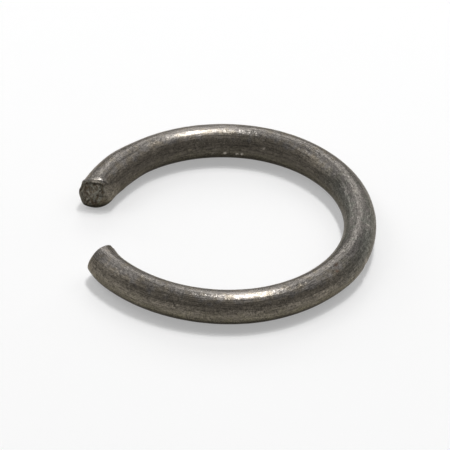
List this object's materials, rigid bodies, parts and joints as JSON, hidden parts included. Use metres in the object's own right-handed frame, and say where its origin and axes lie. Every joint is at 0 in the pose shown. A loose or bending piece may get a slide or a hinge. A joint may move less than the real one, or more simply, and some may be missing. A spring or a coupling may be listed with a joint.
{
  "type": "snap ring",
  "caption": "Open snap ring of round steel wire with sheared ends, sprung into a groove on a shaft or in a bore to keep other parts in place.",
  "frame": {"origin": "centre of the ring's main arc, in the middle of the wire's thickness", "axes": "+Z along the ring's axis, so the ring lies flat; the opening faces -X; the nearly square, slightly swollen end is on the +Y side of the opening and the slanted end on the -Y side"},
  "size_m": [0.0269, 0.027, 0.0034],
  "materials": {
    "spring_steel": "dark, dull drawn steel with fine grain, rubbed brighter on its upper sides"
  },
  "bodies": {
    "root": {"snap_ring": "spring_steel"}
  },
  "joints": []
}
